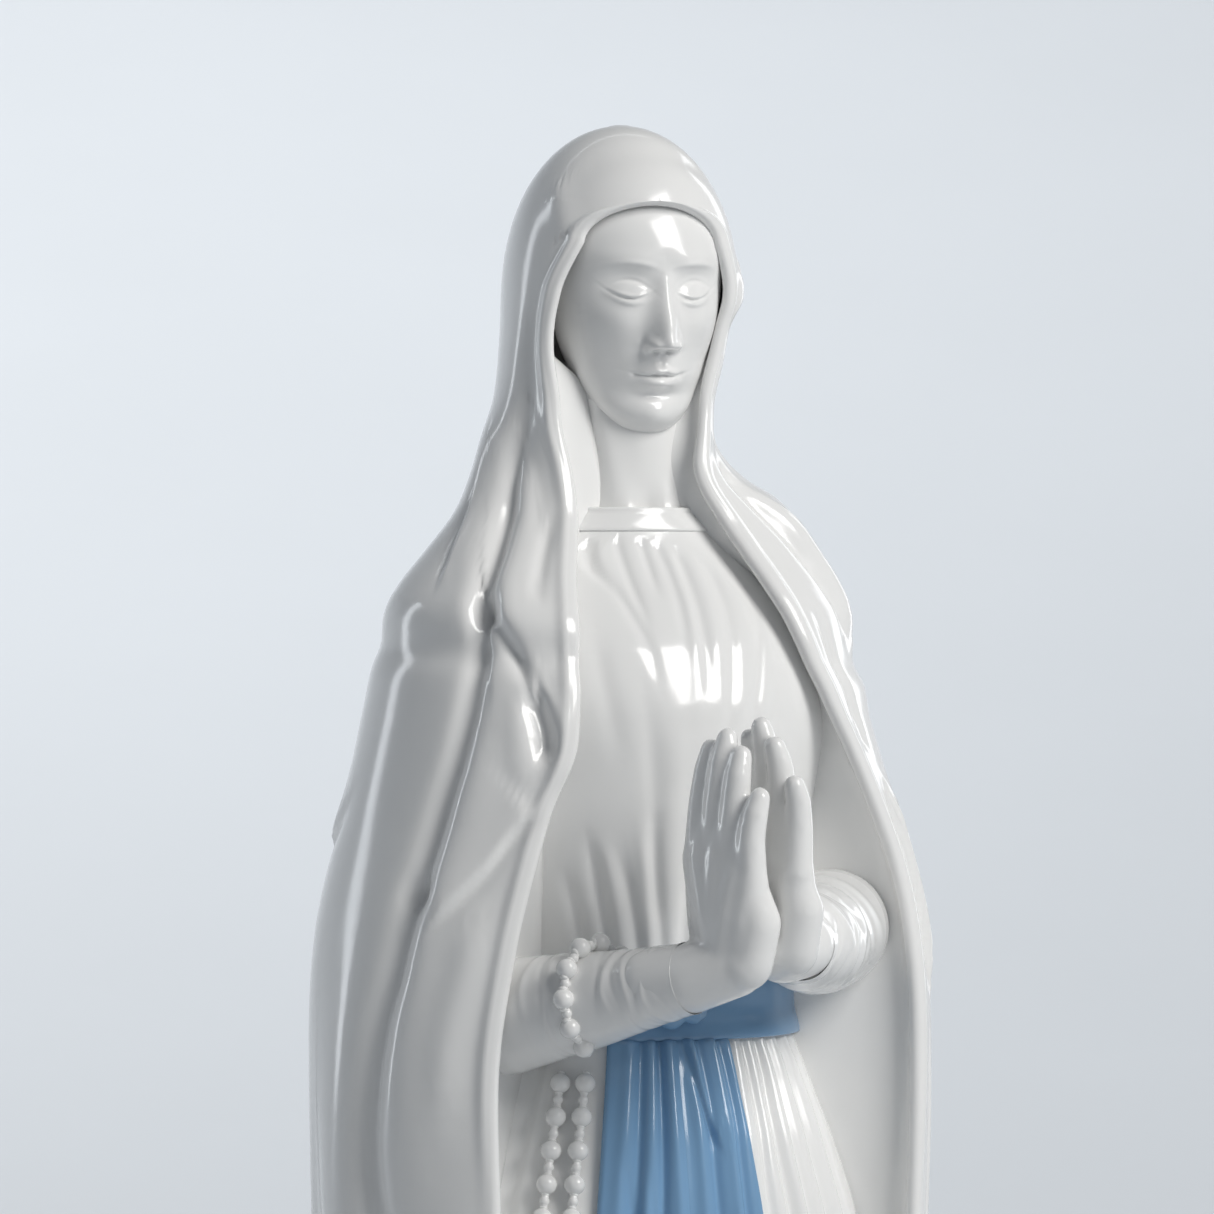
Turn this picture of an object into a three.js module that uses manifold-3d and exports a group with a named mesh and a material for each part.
// Standing devotional figure in glazed porcelain, in millimetres: +Z up, the figure faces -Y.
// Each garment, hand, bead strand and foot is its own casting, set against its neighbours with CLEARANCE.
import * as THREE from "three";
import { mergeVertices } from "three/addons/utils/BufferGeometryUtils.js";
import Module from "manifold-3d";

const wasm = await Module();
wasm.setup();

// ---------- driving dimensions ----------
const FIGURE_HEIGHT = 382; // dress hem to the top of the hood
const MANTLE_WIDTH = 106; // across the mantle at the elbows
const FIGURE_DEPTH = 80; // through the mantle at the hem
const BASE_HEIGHT = 18; // rock base, floor to the ledge that the figure stands on
const BASE_LEDGE = 5; // flat rock left outside the mantle's hem at the sides
const BASE_FLARE = 6; // how much further the rock spreads at the floor
const BASE_FRONT_REACH = 10; // extra rock in front, under the feet and the hands
const FOOT_RING = 7; // width of the unglazed ring that the base stands on
const ROCK_ROUGHNESS = 0.9; // height of the lumps round the rock
const WALL = 3.2; // thickness of the slip-cast walls
const CLEARANCE = 0.3; // joint between two castings
const PLEAT_DEPTH = 1.1; // how far the skirt's pleats sink in
const PLEATS = 12; // pleats round the skirt
const FOLD_DEPTH = 1.9; // how far the mantle's long folds sink in
const FOLD_SPREAD = 4; // degrees from a fold's bottom to its shoulder
const COLLAR_HEIGHT = 5;
const COLLAR_THICKNESS = 1.1;
const SASH_BAND_HEIGHT = 11;
const SASH_THICKNESS = 1.5;
const SASH_TAIL_DROP = 150; // length of the right tail below the waist
const SASH_TAIL_STEP = 6; // how much shorter the left tail is
const SASH_KNOT_HEIGHT = 9;
const SASH_KNOT_REACH = 3.4; // how far the knot stands proud of the band
const ELBOW_RADIUS = 10;
const WRIST_RADIUS = 4.6;
const CUFF_WALL = 1.3; // cloth left round the wrist at the cuff
const FINGER_RADIUS = 2;
const INSTEP_RADIUS = 4.8;
const BEAD_DIAMETER = 3.4;
const BEAD_PITCH = 5.3; // from one bead's centre to the next along a strand
const LINK_DIAMETER = 1.3; // core that joins the beads
const STRAND_BEADS = 22; // beads in each hanging strand
const LOOP_BEADS = 7; // beads over the sleeve
const DROP_BEADS = 4; // beads between the medal and the crucifix
const CRUCIFIX_HEIGHT = 17;
const CRUCIFIX_WIDTH = 10.5;
const CRUCIFIX_THICKNESS = 1.8;
const CRUCIFIX_ARM = 2.6; // width of its arms
const MEDAL_DIAMETER = 5.6;
const ROSE_RADIUS = 4.4;

// The section tables are drawn for a figure 106 wide, 80 deep and 382 high, and stretch with it.
const STRETCH = new THREE.Vector3(MANTLE_WIDTH / 106, FIGURE_DEPTH / 80, FIGURE_HEIGHT / 382);

// Height above the hem, half width, reach to the front, reach to the back.
const MANTLE = [
  [2, 54, 44, 38], [80, 51.5, 42, 35.5], [160, 51.8, 41.5, 35], [232, 53.2, 41, 34], [250, 52, 40, 33],
  [269, 47.5, 37.5, 31], [285, 44.2, 36, 29], [295, 42.2, 33, 27], [302, 40.3, 29.5, 25.5],
  [307, 37.2, 25.5, 24], [312, 33, 21.5, 22.5], [318, 28.2, 17.5, 21], [324, 25.4, 15.5, 20.3],
  [330, 23.4, 15, 20], [337, 20.8, 16, 20.5], [346, 19.6, 18.5, 21.5], [355, 19.3, 20.5, 22.3],
  [362, 18.6, 20.8, 22], [369, 16.4, 19, 20.3], [376, 12, 14.5, 15.5], [380, 7, 9, 9.5], [382, 1, 1, 1],
];
const DRESS = [
  [0, 49, 38, 34], [40, 46, 37, 32], [100, 44.5, 36, 30.5], [160, 43.5, 35, 29.5],
  [199, 41, 33.5, 28], [215, 36, 30.5, 26], [226, 31.5, 27.5, 24], [238, 27.5, 24.5, 21],
  [255, 29.5, 26.5, 22], [272, 33, 29.5, 23.5], [285, 36.5, 31, 25], [295, 37.5, 28, 24.5],
  [302, 36, 23.5, 23], [308, 31, 18.5, 21], [313, 23, 15, 18], [318, 14, 12.5, 13.5],
];
// Height above the hem, then the mantle's right and left front edges in degrees round from the front.
const OPENING = [
  [-4, -48, 50], [80, -45, 52], [140, -42, 55], [205, -41, 57], [228, -41, 57], [247, -38, 57],
  [260, -35.5, 57], [270, -33, 52], [279, -29, 46], [287, -28.5, 40], [296, -28.5, 34], [304, -28.5, 31],
  [317, -31, 32], [327, -38, 25], [336, -50, 36], [346, -60, 48], [354, -57, 50], [362, -45, 42],
  [366, -25, 25], [368.5, -2, 2],
];
// The mantle's long folds: degrees round from the front at the shoulder and at the hem, and the top's height.
const FOLDS = [
  [-62, -66, 300], [-92, -84, 270], [-118, -108, 300], [-146, -136, 318], [-171, -163, 326],
  [171, 163, 326], [146, 136, 318], [118, 108, 300], [92, 88, 270],
];

const WAIST = 238;
const HOOD_SEAM = 326; // height of the joint between the hood and the mantle
const FLAP_SEAM = 96; // degrees round from the front where the mantle's side flaps join its back
const HEAD_CENTRE = [0, -1.5, 352];
const HEAD_SIZE = [15.2, 18.6, 23.4]; // half width, half depth, half height
const HEAD_TILT = 11; // degrees that the face looks down
const NECK_RADIUS = 9.2;
const NECK_FOOT = 309;
const NECK_TOP = 344;
const SHOULDER_DROP = 10; // from the neckline down to the bodice's closed shoulders
const FEET = { right: -13.5, left: 13.5 }; // how far each foot stands to the side
const TAIL_MIDDLE = -4.5; // degrees round from the front where the two tails meet
const TAIL_GAP = 0.4; // degrees from there to each tail's edge
const TAIL_SPREAD = [18, 20]; // degrees across a tail at the band and at its foot
const KNOT_SPREAD = [-16, 7]; // degrees round from the front
const STRANDS_MIDDLE = -33.2; // degrees round from the front, between the two strands
const STRAND_SIDES = { inner: 1, outer: -1 };
const STRAND_GAP = 0.5; // least space between the beads of the two strands
const STRAND_SWAY = 0.9; // how much further apart they hang halfway down
const STRAND_DROP = 12; // from the waist down to the first bead
const LOOP_AT = 0.67; // share of the sleeve's length from the elbow to the beads over it
const LOOP_START = 52; // degrees round the sleeve, from its top to the middle bead
const LOOP_LEAN = 0.55; // how far each bead of the loop steps back towards the elbow

const SLEEVE_LIFT = 11.5; // the left elbow's height above the waist, where the sleeve rests on the band

// Right and left arm: elbow, wrist, then the hand's heel, knuckles and fingertip line,
// and the degrees that the hand's outer edge turns in towards the other.
// The hands stand apart by shares of the wrist's and the fingers' radius, whatever the mantle's width.
const acrossHands = (x) => x / STRETCH.x;
const ARMS = {
  right: {
    elbow: [-38.5, -4, 233],
    wrist: [-8.5, -50, 243.5],
    heel: [acrossHands(-0.7 * WRIST_RADIUS), -54.5, 247.5],
    knuckles: [acrossHands(-2.2 * FINGER_RADIUS), -55, 263],
    tips: [acrossHands(-1.7 * FINGER_RADIUS), -56, 281.5],
    turn: 18,
  },
  left: {
    elbow: [38.5, -4, WAIST + SLEEVE_LIFT / STRETCH.z],
    wrist: [11.5, -48, 248.5],
    heel: [acrossHands(1.61 * WRIST_RADIUS), -54, 249],
    knuckles: [acrossHands(3.4 * FINGER_RADIUS), -55, 265],
    tips: [acrossHands(1.7 * FINGER_RADIUS), -56.5, 283.5],
    turn: -4,
  },
};
// Each finger: step back from the front edge of the palm, and how far its tip is below the longest.
const FINGERS = [[-6.2, 9.5], [-2.2, 3.2], [2, 0], [6, 2.6]];

// ---------- helpers ----------
const degrees = THREE.MathUtils.degToRad;
const heightAt = (z) => BASE_HEIGHT + z * STRETCH.z;

// The dress stands back from the base's middle, so that the hands stay over the base.
const HEM_FRONT = MANTLE[0][2] * STRETCH.y;
const HEM_BACK = MANTLE[0][3] * STRETCH.y;
const SETBACK = (HEM_FRONT + BASE_FRONT_REACH - HEM_BACK) / 2;
const place = (x, y, z) => new THREE.Vector3(x * STRETCH.x, y * STRETCH.y + SETBACK, heightAt(z));

// One column of a table at height z, read along a smooth curve through its rows.
function readAt(table, z, column) {
  const last = table.length - 2;
  let i = 0;
  while (i < last && z > table[i + 1][0]) i++;
  const [a, b] = [table[i], table[i + 1]];
  const before = table[Math.max(i - 1, 0)];
  const after = table[Math.min(i + 2, last + 1)];
  const gap = b[0] - a[0];
  const t = THREE.MathUtils.clamp((z - a[0]) / gap, 0, 1);
  const start = ((b[column] - before[column]) / (b[0] - before[0])) * gap;
  const end = ((after[column] - a[column]) / (after[0] - a[0])) * gap;
  return (
    (2 * t ** 3 - 3 * t ** 2 + 1) * a[column] + (t ** 3 - 2 * t ** 2 + t) * start +
    (3 * t ** 2 - 2 * t ** 3) * b[column] + (t ** 3 - t ** 2) * end
  );
}

// A point at an angle round from the front (-Y, positive towards +X), at a height, grown outwards.
function onTable(table, angle, z, grow = 0, share = 1) {
  const reach = Math.cos(angle) > 0 ? 2 : 3;
  const wide = Math.max(readAt(table, z, 1) * STRETCH.x + grow, 0.4) * share;
  const deep = Math.max(readAt(table, z, reach) * STRETCH.y + grow, 0.4) * share;
  return new THREE.Vector3(wide * Math.sin(angle), SETBACK - deep * Math.cos(angle), heightAt(z));
}

// How far a pleat of the skirt or a fold of the mantle has sunk in at a place.
function pleatDepth(angle, z) {
  const share = THREE.MathUtils.smoothstep(WAIST - z, 4, 70);
  return PLEAT_DEPTH * share * (0.5 - 0.5 * Math.cos(PLEATS * angle));
}
function foldDepth(angle, z) {
  let deepest = 0;
  for (const [top, hem, height] of FOLDS) {
    const down = THREE.MathUtils.clamp((height - z) / height, 0, 1);
    const off = (THREE.MathUtils.radToDeg(angle) - THREE.MathUtils.lerp(top, hem, down)) / FOLD_SPREAD;
    deepest = Math.max(deepest, Math.exp(-off * off) * THREE.MathUtils.smoothstep(height - z, 0, 60));
  }
  return FOLD_DEPTH * deepest;
}

// A closed mesh as a manifold-3d solid, and back.
function solidOf(geometry) {
  const bare = geometry.clone();
  bare.deleteAttribute("normal");
  bare.deleteAttribute("uv");
  const merged = mergeVertices(bare, 1e-4);
  return new wasm.Manifold(
    new wasm.Mesh({
      numProp: 3,
      vertProperties: merged.attributes.position.array,
      triVerts: new Uint32Array(merged.index.array),
    }),
  );
}
function geometryOf(solid) {
  const mesh = solid.getMesh();
  return new THREE.BufferGeometry()
    .setAttribute("position", new THREE.BufferAttribute(mesh.vertProperties, 3))
    .setIndex(new THREE.BufferAttribute(mesh.triVerts, 1));
}

// Moves every vertex of a geometry to where a function sends it.
function reshape(geometry, send) {
  const points = geometry.attributes.position;
  const point = new THREE.Vector3();
  for (let i = 0; i < points.count; i++) {
    point.fromBufferAttribute(points, i);
    point.copy(send(point));
    points.setXYZ(i, point.x, point.y, point.z);
  }
  return geometry;
}

// A closed column through the given heights of a table, with an optional sink at each place.
function column(table, heights, sides, grow = 0, sink = () => 0) {
  const span = heights.length - 1;
  const tube = new THREE.CylinderGeometry(1, 1, span, sides, span);
  return solidOf(
    reshape(tube, (p) => {
      const z = heights[Math.round(p.y + span / 2)];
      const angle = Math.atan2(p.x, p.z);
      return onTable(table, angle, z, grow - sink(angle, z), Math.hypot(p.x, p.z));
    }),
  );
}

// The heights of a table's rows between two heights, with both ends.
function heightsBetween(table, low, high) {
  return [low, ...table.map((row) => row[0]).filter((z) => z > low + 1 && z < high - 1), high];
}

// A curved slab on a table's surface. Its edges are functions of the height, in degrees round from the front.
// Its depths are distances outwards, or shares of the table's reach when byShare is set.
function slab(table, [low, high], rows, columns, [rightEdge, leftEdge], [inner, outer], byShare = false) {
  const block = new THREE.BoxGeometry(1, 1, 1, columns, 1, rows);
  return solidOf(
    reshape(block, (p) => {
      const z = THREE.MathUtils.lerp(low, high, p.z + 0.5);
      const angle = degrees(THREE.MathUtils.lerp(rightEdge(z), leftEdge(z), p.x + 0.5));
      const depth = p.y < 0 ? outer : inner;
      return byShare ? onTable(table, angle, z, 0, depth) : onTable(table, angle, z, depth);
    }),
  );
}

// A rod that tapers between two round ends.
const CAP_ANGLES = [40, 0]; // degrees from the rod's shoulder towards its tip
function rod(from, to, startRadius, endRadius, sides = 9, grow = 0) {
  const axis = new THREE.Vector3().subVectors(to, from);
  const length = axis.length();
  const onCap = (radius, angle, base, way) =>
    new THREE.Vector2(radius * Math.cos(degrees(angle)), base + way * radius * Math.sin(degrees(angle)));
  const [first, last] = [startRadius + grow, endRadius + grow];
  const profile = [
    new THREE.Vector2(0, -first),
    ...CAP_ANGLES.map((angle) => onCap(first, angle, 0, -1)),
    ...CAP_ANGLES.toReversed().map((angle) => onCap(last, angle, length, 1)),
    new THREE.Vector2(0, length + last),
  ];
  const turned = new THREE.LatheGeometry(profile, sides);
  const turn = new THREE.Quaternion().setFromUnitVectors(new THREE.Vector3(0, 1, 0), axis.normalize());
  turned.applyQuaternion(turn).translate(from.x, from.y, from.z);
  return solidOf(turned);
}

// An ellipsoid, tilted about X.
function egg(centre, [rx, ry, rz], sides, rings, grow = 0, tilt = 0) {
  const ball = new THREE.SphereGeometry(1, sides, rings);
  ball.rotateX(Math.PI / 2).scale(rx + grow, ry + grow, rz + grow).rotateX(degrees(tilt));
  return solidOf(ball.translate(centre.x, centre.y, centre.z));
}

const joined = (...solids) => solids.reduce((all, next) => all.add(next));

// ---------- castings ----------
const figure = new THREE.Group();
const glaze = (color, roughness = 0.12) => new THREE.MeshStandardMaterial({ color, roughness, metalness: 0 });
const WHITE = 0xeceae6;
const BLUE = 0x6f95bd;
const BISQUE = 0xe4dfd6;
const GOLD = 0xd9b35c;
const BISQUE_ROUGHNESS = 0.5;
function casting(name, solid, color = WHITE, roughness) {
  const mesh = new THREE.Mesh(geometryOf(solid), glaze(color, roughness));
  mesh.name = name;
  figure.add(mesh);
}

// The dress: a skirt and a bodice that meet at the waist. All that lies on it is cut from the same column.
const skirtTop = WAIST - CLEARANCE / 2;
const bodiceFoot = WAIST + CLEARANCE / 2;
const neckline = DRESS[DRESS.length - 1][0];
const hem = CLEARANCE / STRETCH.z;
const wallShare = WALL / STRETCH.z;
const DRESS_SIDES = 3 * PLEATS;
const DRESS_LIMITS = [-4, neckline + 4]; // past the hem and the neckline, where pieces are trimmed
const REACH = MANTLE_WIDTH * 2; // wider than the whole figure
function between(low, high) {
  const tall = (high - low) * STRETCH.z;
  return solidOf(new THREE.BoxGeometry(REACH, REACH, tall).translate(0, SETBACK, heightAt(low) + tall / 2));
}
function wholeDress(grow = 0, sink) {
  return column(DRESS, heightsBetween(DRESS, ...DRESS_LIMITS), DRESS_SIDES, grow, sink);
}
const dressGrown = wholeDress(CLEARANCE).intersect(between(DRESS_LIMITS[0], neckline + CLEARANCE));

// The head: skull, jaw, nose and neck.
const headAt = place(...HEAD_CENTRE);
const headSize = HEAD_SIZE.map((r, i) => r * STRETCH.getComponent(i));
const onHead = (x, y, z) =>
  new THREE.Vector3(x * headSize[0], y * headSize[1], z * headSize[2])
    .applyAxisAngle(new THREE.Vector3(1, 0, 0), degrees(HEAD_TILT))
    .add(headAt);
function headSolid(grow = 0) {
  const [w, d, h] = headSize;
  return joined(
    egg(onHead(0, 0.08, 0.14), [w, d * 0.94, h * 0.86], 18, 10, grow, HEAD_TILT),
    egg(onHead(0, -0.2, -0.38), [w * 0.78, d * 0.72, h * 0.6], 14, 8, grow, HEAD_TILT),
    rod(onHead(0, -0.86, 0.1), onHead(0, -1.04, -0.2), w * 0.06, w * 0.14, 7, grow),
    rod(place(0, 3.5, NECK_FOOT), place(0, 1.5, NECK_TOP), NECK_RADIUS, NECK_RADIUS * 0.96, 16, grow),
  );
}
const head = headSolid();
const headGrown = headSolid(CLEARANCE);

// The arms: sleeves that leave the mantle, and hands that rise from their cuffs.
function handSolid(side, grow = 0) {
  const { wrist, heel, knuckles, tips } = ARMS[side];
  const [w, h, k, t] = [wrist, heel, knuckles, tips].map((p) => place(...p));
  const inward = side === "right" ? 1 : -1;
  const turn = degrees(ARMS[side].turn);
  const backwards = new THREE.Vector3(-Math.sin(turn), Math.cos(turn), 0);
  const back = (point, step) => point.clone().addScaledVector(backwards, step);
  const parts = [rod(w, h, WRIST_RADIUS, WRIST_RADIUS, 10, grow)];
  for (const step of [-3.4, 0, 3.4]) {
    parts.push(rod(back(h, step), back(k, step * 1.3), WRIST_RADIUS * 0.82, FINGER_RADIUS * 1.4, 8, grow));
  }
  for (const [step, short] of FINGERS) {
    const tip = back(t, step * 0.9).setZ(t.z - short);
    parts.push(rod(back(k, step), tip, FINGER_RADIUS * 1.06, FINGER_RADIUS * 0.8, 7, grow));
  }
  const thumbTip = back(k, 9.4).add(new THREE.Vector3(inward * 0.6, 0, 1.5));
  parts.push(rod(back(h, 4.5), thumbTip, FINGER_RADIUS * 1.45, FINGER_RADIUS, 7, grow));
  return joined(...parts);
}
const cuffRadius = WRIST_RADIUS + CLEARANCE + CUFF_WALL;
function sleeveSolid({ elbow, wrist }, grow = 0) {
  return rod(place(...elbow), place(...wrist), ELBOW_RADIUS, cuffRadius, 16, grow);
}
const hands = {};
const handsGrown = {};
const sleevesGrown = {};
for (const side of ["right", "left"]) {
  hands[side] = handSolid(side);
  handsGrown[side] = handSolid(side, CLEARANCE);
  sleevesGrown[side] = sleeveSolid(ARMS[side], CLEARANCE);
}

// The collar and the sash band are rings on the dress.
const ringSolid = (low, high, thickness) =>
  wholeDress(CLEARANCE + thickness).subtract(wholeDress(CLEARANCE)).intersect(between(low, high));
const ringSpace = (low, high, thickness) =>
  wholeDress(CLEARANCE * 2 + thickness).intersect(between(low - CLEARANCE, high + CLEARANCE));
const collarSpan = [neckline - COLLAR_HEIGHT / STRETCH.z, neckline + 0.4];
const bandSpan = [WAIST - SASH_BAND_HEIGHT / 2 / STRETCH.z, WAIST + SASH_BAND_HEIGHT / 2 / STRETCH.z];
const collar = ringSolid(...collarSpan, COLLAR_THICKNESS).subtract(headGrown);
const collarGrown = ringSpace(...collarSpan, COLLAR_THICKNESS);
const band = ringSolid(...bandSpan, SASH_THICKNESS);
const bandGrown = ringSpace(...bandSpan, SASH_THICKNESS);

// Feet under the hem, with flat soles: each toe is its step inwards, its step forwards and its radius.
const TOES = [[3.6, 1.5, 2.3], [1, 1.8, 1.7], [-1.3, 1.5, 1.6], [-3.3, 0.7, 1.5]];
const TOE_LINE = -46;
const HEEL_LINE = -29;
const solesAt = BASE_HEIGHT + CLEARANCE;
function footSolid(x, grow = 0) {
  const inward = Math.sign(-x);
  const toes = TOES.map(([aside, ahead, r]) => {
    const tip = place(x, TOE_LINE, 0).setZ(solesAt + r);
    return egg(tip.add(new THREE.Vector3(aside * inward, -ahead, 0)), [r, r * 1.3, r], 7, 5, grow);
  });
  const ankle = place(x * 0.9, HEEL_LINE, 0).setZ(solesAt + INSTEP_RADIUS);
  const ball = place(x, TOE_LINE + 2, 0).setZ(solesAt + INSTEP_RADIUS * 0.8);
  const instep = rod(ankle, ball, INSTEP_RADIUS, INSTEP_RADIUS * 0.8, 10, grow);
  const ground = new THREE.BoxGeometry(REACH, REACH, REACH).translate(0, 0, solesAt - grow - REACH / 2);
  return joined(instep, ...toes).subtract(solidOf(ground));
}
const feetGrown = Object.values(FEET).map((x) => footSolid(x, CLEARANCE));

// Skirt: pleated outside, hollow inside, open at the hem and at the waist.
const skirtHollow = column(DRESS, heightsBetween(DRESS, -2, skirtTop + 2), 24, -WALL);
const skirt = wholeDress(0, pleatDepth).intersect(between(hem, skirtTop)).subtract(skirtHollow);
casting("skirt", skirt.subtract(joined(...feetGrown)));
const bodiceCeiling = neckline - SHOULDER_DROP - wallShare;
const bodiceHollow = column(DRESS, heightsBetween(DRESS, WAIST - 2, bodiceCeiling), 24, -WALL);
const bodice = wholeDress().intersect(between(bodiceFoot, neckline)).subtract(bodiceHollow);
casting("bodice", bodice.subtract(headGrown));
casting("collar", collar);
casting("head", head);
casting("sash_band", band, BLUE);

// Mantle: one shell, cut open at the front, then parted at the hood and at the side flaps.
const MANTLE_SIDES = 42;
const LINING_SIDES = 28;
const top = MANTLE[MANTLE.length - 1][0];
const mantleOuter = column(MANTLE, heightsBetween(MANTLE, MANTLE[0][0], top), MANTLE_SIDES, 0, foldDepth);
const liningHeights = [-3, ...heightsBetween(MANTLE, MANTLE[1][0], top - wallShare)];
const mantleInner = column(MANTLE, liningHeights, LINING_SIDES, -WALL);
const edge = (side) => (z) => readAt(OPENING, z, side);
const openingSpan = [OPENING[0][0], OPENING[OPENING.length - 1][0]];
const opening = slab(MANTLE, openingSpan, 30, 4, [edge(1), edge(2)], [0.3, 1.3], true);
const shell = mantleOuter
  .subtract(mantleInner)
  .subtract(opening)
  .subtract(dressGrown)
  .subtract(collarGrown)
  .subtract(headGrown)
  .subtract(sleevesGrown.right)
  .subtract(sleevesGrown.left);
const half = CLEARANCE / 2;
const seamHeight = heightAt(HOOD_SEAM);
const seamDepth = SETBACK - FIGURE_DEPTH * 0.5 * Math.cos(degrees(FLAP_SEAM));
function spaceAt(x, y, z) {
  return solidOf(new THREE.BoxGeometry(REACH, REACH, FIGURE_HEIGHT).translate(x, y, z));
}
const belowSeam = seamHeight - half - FIGURE_HEIGHT / 2;
const hoodSpace = spaceAt(0, 0, seamHeight + half + FIGURE_HEIGHT / 2);
const backSpace = spaceAt(0, seamDepth + half + REACH / 2, belowSeam);
const flapSpace = (side) => spaceAt((side * REACH) / 2, seamDepth - half - REACH / 2, belowSeam);
casting("hood", shell.intersect(hoodSpace));
casting("mantle_back", shell.intersect(backSpace));
casting("mantle_right_flap", shell.intersect(flapSpace(-1)));
casting("mantle_left_flap", shell.intersect(flapSpace(1)));

for (const side of ["right", "left"]) {
  const sleeve = sleeveSolid(ARMS[side]).subtract(dressGrown).subtract(bandGrown).subtract(handsGrown[side]);
  casting(`${side}_sleeve`, sleeve);
  casting(`${side}_hand`, hands[side]);
  casting(`${side}_foot`, footSolid(FEET[side]));
}

// Sash: a knot on the band and two tails down the skirt, each bedded on what lies under it.
const knotHalf = SASH_KNOT_HEIGHT / 2 / STRETCH.z;
const knotEdges = KNOT_SPREAD.map((angle) => () => angle);
const knotDepth = [0, CLEARANCE * 2 + SASH_THICKNESS + SASH_KNOT_REACH];
const knot = slab(DRESS, [WAIST - knotHalf, WAIST + knotHalf], 4, 6, knotEdges, knotDepth);
casting("sash_knot", knot.subtract(bandGrown), BLUE);
const tailTop = bandSpan[0] - CLEARANCE / STRETCH.z;
const tailFoot = WAIST - SASH_TAIL_DROP / STRETCH.z;
const tailSpread = (z) => THREE.MathUtils.mapLinear(z, tailTop, tailFoot, ...TAIL_SPREAD);
function tail(foot, edges) {
  return slab(DRESS, [foot, tailTop], 14, 5, edges, [0, CLEARANCE + SASH_THICKNESS]).subtract(dressGrown);
}
const rightEdges = [(z) => TAIL_MIDDLE - tailSpread(z), () => TAIL_MIDDLE - TAIL_GAP];
const leftEdges = [() => TAIL_MIDDLE + TAIL_GAP, (z) => TAIL_MIDDLE + tailSpread(z)];
casting("sash_tail_right", tail(tailFoot, rightEdges), BLUE);
casting("sash_tail_left", tail(tailFoot + SASH_TAIL_STEP / STRETCH.z, leftEdges), BLUE);

// Rosary: beads on a core, over the right sleeve, then down the skirt to a medal and a crucifix.
const bead = BEAD_DIAMETER / 2;
const core = LINK_DIAMETER / 2;
// Each ring of a bead: how far along it from its middle, as a share of its radius, and the ring's radius.
const BEAD_RINGS = [[-0.95, core], [-0.45, bead * 0.9], [0.45, bead * 0.9], [0.95, core]];
function strand(points) {
  const route = new THREE.CatmullRomCurve3(points);
  const last = points.length * BEAD_RINGS.length - 1;
  const tube = new THREE.CylinderGeometry(1, 1, last, 6, last);
  return solidOf(
    reshape(tube, (p) => {
      const ring = Math.round(p.y + last / 2);
      const which = Math.floor(ring / BEAD_RINGS.length);
      const [along, radius] = BEAD_RINGS[ring % BEAD_RINGS.length];
      const heading = route.getTangent(which / (points.length - 1));
      const up = new THREE.Vector3().crossVectors(heading, new THREE.Vector3(1, 0, 0)).normalize();
      const across = new THREE.Vector3().crossVectors(heading, up);
      return points[which].clone()
        .addScaledVector(heading, along * bead)
        .addScaledVector(up, p.z * radius)
        .addScaledVector(across, p.x * radius);
    }),
  );
}
const beadReach = CLEARANCE + bead;
const strandTop = WAIST - STRAND_DROP / STRETCH.z;
const strandStep = BEAD_PITCH / STRETCH.z;
// Half the distance between the two strands at a bead, in millimetres and in degrees round the skirt.
const swayAt = (i) => STRAND_SWAY * Math.sin((Math.PI * i) / (STRAND_BEADS - 1));
const strandHalf = (i) => (BEAD_DIAMETER + STRAND_GAP + swayAt(i)) / 2;
function strandTurn(i) {
  const z = strandTop - i * strandStep;
  const [at, after] = [0, 1].map((step) => onTable(DRESS, degrees(STRANDS_MIDDLE + step), z, beadReach));
  return strandHalf(i) / at.distanceTo(after);
}
const along = (angle, top, count) =>
  Array.from({ length: count }, (_, i) => onTable(DRESS, degrees(angle(i)), top - i * strandStep, beadReach));
for (const [name, side] of Object.entries(STRAND_SIDES)) {
  const route = (i) => STRANDS_MIDDLE + side * strandTurn(i);
  casting(`rosary_${name}_strand`, strand(along(route, strandTop, STRAND_BEADS)));
}

// The loop goes over the sleeve from its back to its front.
const sleeveAxis = new THREE.LineCurve3(place(...ARMS.right.elbow), place(...ARMS.right.wrist));
const towardsWrist = sleeveAxis.getTangent(0.5);
const outward = new THREE.Vector3(towardsWrist.y, -towardsWrist.x, 0).normalize();
const upward = new THREE.Vector3().crossVectors(towardsWrist, outward).normalize();
const loopRadius = THREE.MathUtils.lerp(ELBOW_RADIUS, cuffRadius, LOOP_AT) + beadReach;
const loopPoints = Array.from({ length: LOOP_BEADS }, (_, i) => {
  const step = i - (LOOP_BEADS - 1) / 2;
  const turn = (step * BEAD_PITCH) / loopRadius + degrees(LOOP_START);
  return sleeveAxis.getPoint(LOOP_AT)
    .addScaledVector(upward, loopRadius * Math.cos(turn))
    .addScaledVector(outward, loopRadius * Math.sin(turn))
    .addScaledVector(towardsWrist, -step * LOOP_LEAN);
});
casting("rosary_arm_loop", strand(loopPoints));

// The medal, the drop and the crucifix follow below the strands, flat on the skirt.
const seat = CLEARANCE * 2 + CRUCIFIX_THICKNESS / 2;
function flatOnSkirt(geometry, z) {
  const pointAt = (step) => onTable(DRESS, degrees(STRANDS_MIDDLE + step), z, seat);
  const [before, at, after] = [-3, 0, 3].map(pointAt);
  const facing = Math.atan2(after.y - before.y, after.x - before.x);
  return solidOf(geometry.rotateZ(facing).translate(at.x, at.y, at.z));
}
const PIECE_GAP = CLEARANCE * 2; // between the strands, the medal, the drop and the crucifix
const strandFoot = strandTop - (STRAND_BEADS - 1) * strandStep;
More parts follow.
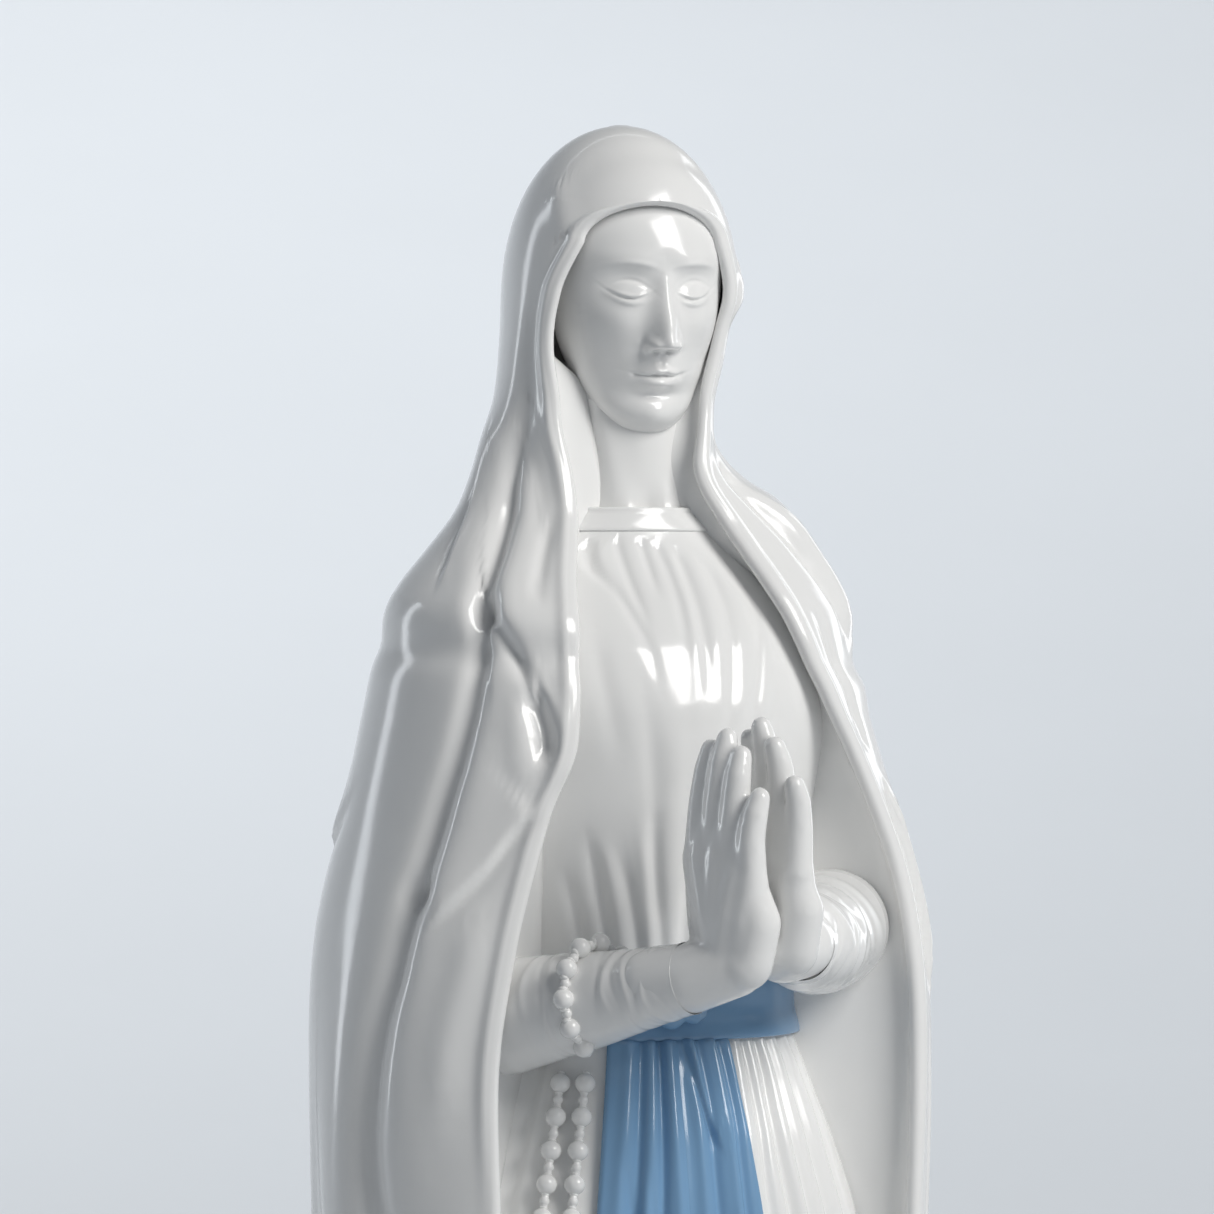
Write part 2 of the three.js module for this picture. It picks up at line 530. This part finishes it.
// From the last bead of a strand to the middle of the medal.
const medalReach = bead + PIECE_GAP + MEDAL_DIAMETER / 2;
const medalAt = strandFoot - Math.sqrt(medalReach ** 2 - strandHalf(STRAND_BEADS - 1) ** 2) / STRETCH.z;
const medal = new THREE.CylinderGeometry(MEDAL_DIAMETER / 2, MEDAL_DIAMETER / 2, CRUCIFIX_THICKNESS, 16);
casting("rosary_medal", flatOnSkirt(medal, medalAt));
const dropTop = medalAt - (MEDAL_DIAMETER / 2 + PIECE_GAP + bead) / STRETCH.z;
casting("rosary_drop", strand(along(() => STRANDS_MIDDLE, dropTop, DROP_BEADS)));
const crossTop = dropTop - (DROP_BEADS - 1) * strandStep - (bead + PIECE_GAP) / STRETCH.z;
const crossMiddle = crossTop - CRUCIFIX_HEIGHT / 2 / STRETCH.z;
const upright = new THREE.BoxGeometry(CRUCIFIX_ARM, CRUCIFIX_THICKNESS, CRUCIFIX_HEIGHT);
const crossbar = new THREE.BoxGeometry(CRUCIFIX_WIDTH, CRUCIFIX_THICKNESS, CRUCIFIX_ARM);
crossbar.translate(0, 0, CRUCIFIX_HEIGHT * 0.2);
casting("crucifix", flatOnSkirt(upright, crossMiddle).add(flatOnSkirt(crossbar, crossMiddle)));

// Roses: petalled balls that rest on the insteps.
const PETALS = 5;
const PETAL_DEPTH = 0.09; // share of the radius
const ROSE_FLATNESS = 0.7;
for (const [side, x] of Object.entries(FEET)) {
  const ball = new THREE.SphereGeometry(ROSE_RADIUS, 3 * PETALS, 8).rotateX(Math.PI / 2);
  reshape(ball, (p) => {
    const wave = Math.cos(PETALS * Math.atan2(p.y, p.x) + p.z);
    const grown = p.clone().multiplyScalar(1 + PETAL_DEPTH * wave * (1 - (p.z / ROSE_RADIUS) ** 2));
    return grown.setZ(p.z * ROSE_FLATNESS);
  });
  const at = place(x, TOE_LINE + 4.5, 0).setZ(solesAt + 2 * INSTEP_RADIUS + ROSE_RADIUS * 0.5);
  const rose = solidOf(ball.translate(at.x, at.y, at.z));
  casting(`${side}_rose`, rose.subtract(footSolid(x, CLEARANCE)).subtract(dressGrown), GOLD);
}

// Rock base: an uneven mound with a flat ledge on top and an open hollow under it.
const rockWide = MANTLE[0][1] * STRETCH.x + BASE_LEDGE;
const rockDeep = (HEM_FRONT + HEM_BACK + BASE_FRONT_REACH) / 2 + BASE_LEDGE;
const ROCK_SIDES = 40;
const ROCK_LAYERS = 3;
const ROCK_SQUARENESS = 0.8; // 1 makes the outline an ellipse, less makes it squarer
const squared = (c) => Math.sign(c) * Math.abs(c) ** ROCK_SQUARENESS;
function rockColumn(grow, [low, high], rough, sides) {
  const mound = new THREE.CylinderGeometry(1, 1, ROCK_LAYERS, sides, ROCK_LAYERS);
  return solidOf(
    reshape(mound, (p) => {
      const share = p.y / ROCK_LAYERS + 0.5;
      const angle = Math.atan2(p.x, p.z);
      const lumps = Math.cos(7 * angle + 1.1) + Math.cos(11 * angle) * 0.7;
      const flare = grow + BASE_FLARE * (1 - share) ** 1.5 + rough * lumps * Math.sin(Math.PI * share);
      const r = Math.hypot(p.x, p.z);
      return new THREE.Vector3(
        (rockWide + flare) * r * squared(Math.sin(angle)),
        -(rockDeep + flare) * r * squared(Math.cos(angle)),
        THREE.MathUtils.lerp(low, high, share),
      );
    }),
  );
}
const ledgeThickness = WALL * 1.4;
const rockHollow = rockColumn(-FOOT_RING, [-1, BASE_HEIGHT - ledgeThickness], 0, 24);
const vent = column(DRESS, [-BASE_HEIGHT * 2, hem + 2], 24, -WALL - FOOT_RING);
const rock = rockColumn(0, [0, BASE_HEIGHT], ROCK_ROUGHNESS, ROCK_SIDES).subtract(rockHollow).subtract(vent);
casting("rock_base", rock, BISQUE, BISQUE_ROUGHNESS);

export default figure;
